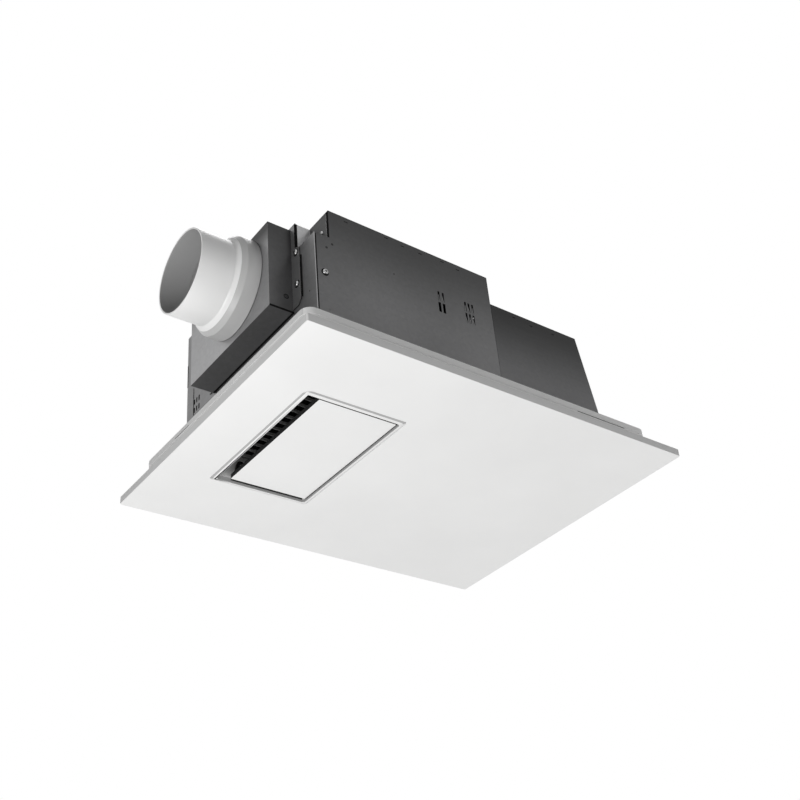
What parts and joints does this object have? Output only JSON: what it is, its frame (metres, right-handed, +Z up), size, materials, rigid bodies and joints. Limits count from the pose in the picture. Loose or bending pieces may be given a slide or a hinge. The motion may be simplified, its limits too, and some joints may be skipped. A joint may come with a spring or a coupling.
{
  "type": "bathroom ventilation dryer",
  "caption": "Ceiling bathroom fan heater: white square front panel with an outlet flap, stepped steel casing and a round side duct spigot that exhausts or dries.",
  "frame": {"origin": "centre of the four ceiling screw holes, in the ceiling plane on which the base frame lies", "axes": "+Z up into the ceiling void, +X along the long side away from the duct, +Y along the short side"},
  "size_m": [0.545, 0.392, 0.2202],
  "materials": {
    "front_panel": "fine matt white moulding",
    "panel_clips": "spring steel",
    "base_frame": "light grey moulding",
    "frame_screws": "zinc-plated screws",
    "tall_shell": "galvanised sheet, darkened",
    "low_shell": "galvanised sheet, darkened",
    "far_end_plate": "galvanised sheet, darkened",
    "duct_end_plate": "galvanised sheet",
    "corner_cover": "bright galvanised sheet",
    "casing_screws": "zinc-plated screws",
    "casing_tray": "galvanised sheet",
    "adaptor_box": "galvanised sheet",
    "adaptor_screws": "zinc-plated screws",
    "duct_spigot": "white moulding, half gloss",
    "spigot_screws": "zinc-plated screws",
    "shutter_disc": "white moulding",
    "shutter_shaft": "ground steel rod",
    "duct_seal": "closed-cell foam",
    "air_box": "light grey moulding",
    "damper_plate": "grey moulding",
    "damper_shaft": "ground steel rod",
    "damper_bush": "natural acetal",
    "damper_motor": "black gear case",
    "heater_frame": "heat-proof moulding",
    "heater_bars": "insulated aluminium bars",
    "heater_fins": "bare fins",
    "thermal_cutout": "black phenolic",
    "guide_vanes": "black moulding",
    "outlet_frame": "light grey moulding",
    "louver_flap": "fine matt white moulding",
    "louver_pin": "ground steel pin",
    "louver_bush": "natural acetal",
    "louver_shaft": "ground steel shaft",
    "louver_motor": "plated motor can",
    "bellmouth": "light grey moulding",
    "scroll_case": "light grey moulding",
    "scroll_cover": "galvanised sheet",
    "wheel_plate": "galvanised sheet",
    "wheel_blades": "galvanised sheet",
    "wheel_ring": "galvanised sheet",
    "impeller_nut": "plated nut",
    "motor_shaft": "ground steel shaft",
    "fan_motor": "grey paint",
    "motor_screws": "zinc-plated screws",
    "motor_capacitor": "dark case",
    "filter_hood": "light grey moulding",
    "filter_frame": "blue-grey moulding",
    "filter_mesh": "fine net",
    "control_box": "galvanised sheet",
    "control_cover": "galvanised sheet",
    "control_board": "green board",
    "board_parts": "black cases",
    "terminal_block": "white moulding",
    "cable_bush": "black rubber",
    "room_sensor": "white moulding",
    "small_screws": "zinc-plated screws"
  },
  "bodies": {
    "unit": {"front_panel": "front_panel", "panel_clips": "panel_clips", "base_frame": "base_frame", "frame_screws": "frame_screws", "tall_shell": "tall_shell", "low_shell": "low_shell", "far_end_plate": "far_end_plate", "duct_end_plate": "duct_end_plate", "corner_cover": "corner_cover", "casing_screws": "casing_screws", "casing_tray": "casing_tray", "adaptor_box": "adaptor_box", "adaptor_screws": "adaptor_screws", "duct_spigot": "duct_spigot", "spigot_screws": "spigot_screws", "duct_seal": "duct_seal", "air_box": "air_box", "damper_bush": "damper_bush", "damper_motor": "damper_motor", "heater_frame": "heater_frame", "heater_bars": "heater_bars", "heater_fins": "heater_fins", "thermal_cutout": "thermal_cutout", "guide_vanes": "guide_vanes", "outlet_frame": "outlet_frame", "louver_bush": "louver_bush", "louver_motor": "louver_motor", "bellmouth": "bellmouth", "scroll_case": "scroll_case", "scroll_cover": "scroll_cover", "fan_motor": "fan_motor", "motor_screws": "motor_screws", "motor_capacitor": "motor_capacitor", "filter_hood": "filter_hood", "control_box": "control_box", "control_cover": "control_cover", "control_board": "control_board", "board_parts": "board_parts", "terminal_block": "terminal_block", "cable_bush": "cable_bush", "room_sensor": "room_sensor", "small_screws": "small_screws"},
    "louver": {"louver_flap": "louver_flap", "louver_pin": "louver_pin", "louver_shaft": "louver_shaft"},
    "fan_rotor": {"wheel_plate": "wheel_plate", "wheel_blades": "wheel_blades", "wheel_ring": "wheel_ring", "impeller_nut": "impeller_nut", "motor_shaft": "motor_shaft"},
    "damper": {"damper_plate": "damper_plate", "damper_shaft": "damper_shaft"},
    "shutter": {"shutter_disc": "shutter_disc", "shutter_shaft": "shutter_shaft"},
    "filter": {"filter_frame": "filter_frame", "filter_mesh": "filter_mesh"}
  },
  "joints": [
    {"name": "louver_swing", "type": "hinge", "parent": "unit", "child": "louver", "pos_m": [-0.158, 0, -0.026], "axis": [0, 1, 0], "range_deg": [0, 60]},
    {"name": "fan_spin", "type": "hinge", "parent": "unit", "child": "fan_rotor", "pos_m": [0.09, 0.012, 0.04], "axis": [0, 0, 1], "continuous": true},
    {"name": "damper_swing", "type": "hinge", "parent": "unit", "child": "damper", "pos_m": [-0.187, 0, 0.0635], "axis": [0, -1, 0], "range_deg": [0, 90]},
    {"name": "shutter_swing", "type": "hinge", "parent": "unit", "child": "shutter", "pos_m": [-0.262, -0.027, 0.125], "axis": [0, 1, 0], "range_deg": [0, 70]},
    {"name": "filter_slide", "type": "slide", "parent": "unit", "child": "filter", "axis": [0, -1, 0], "range_m": [0, 0.18]}
  ]
}
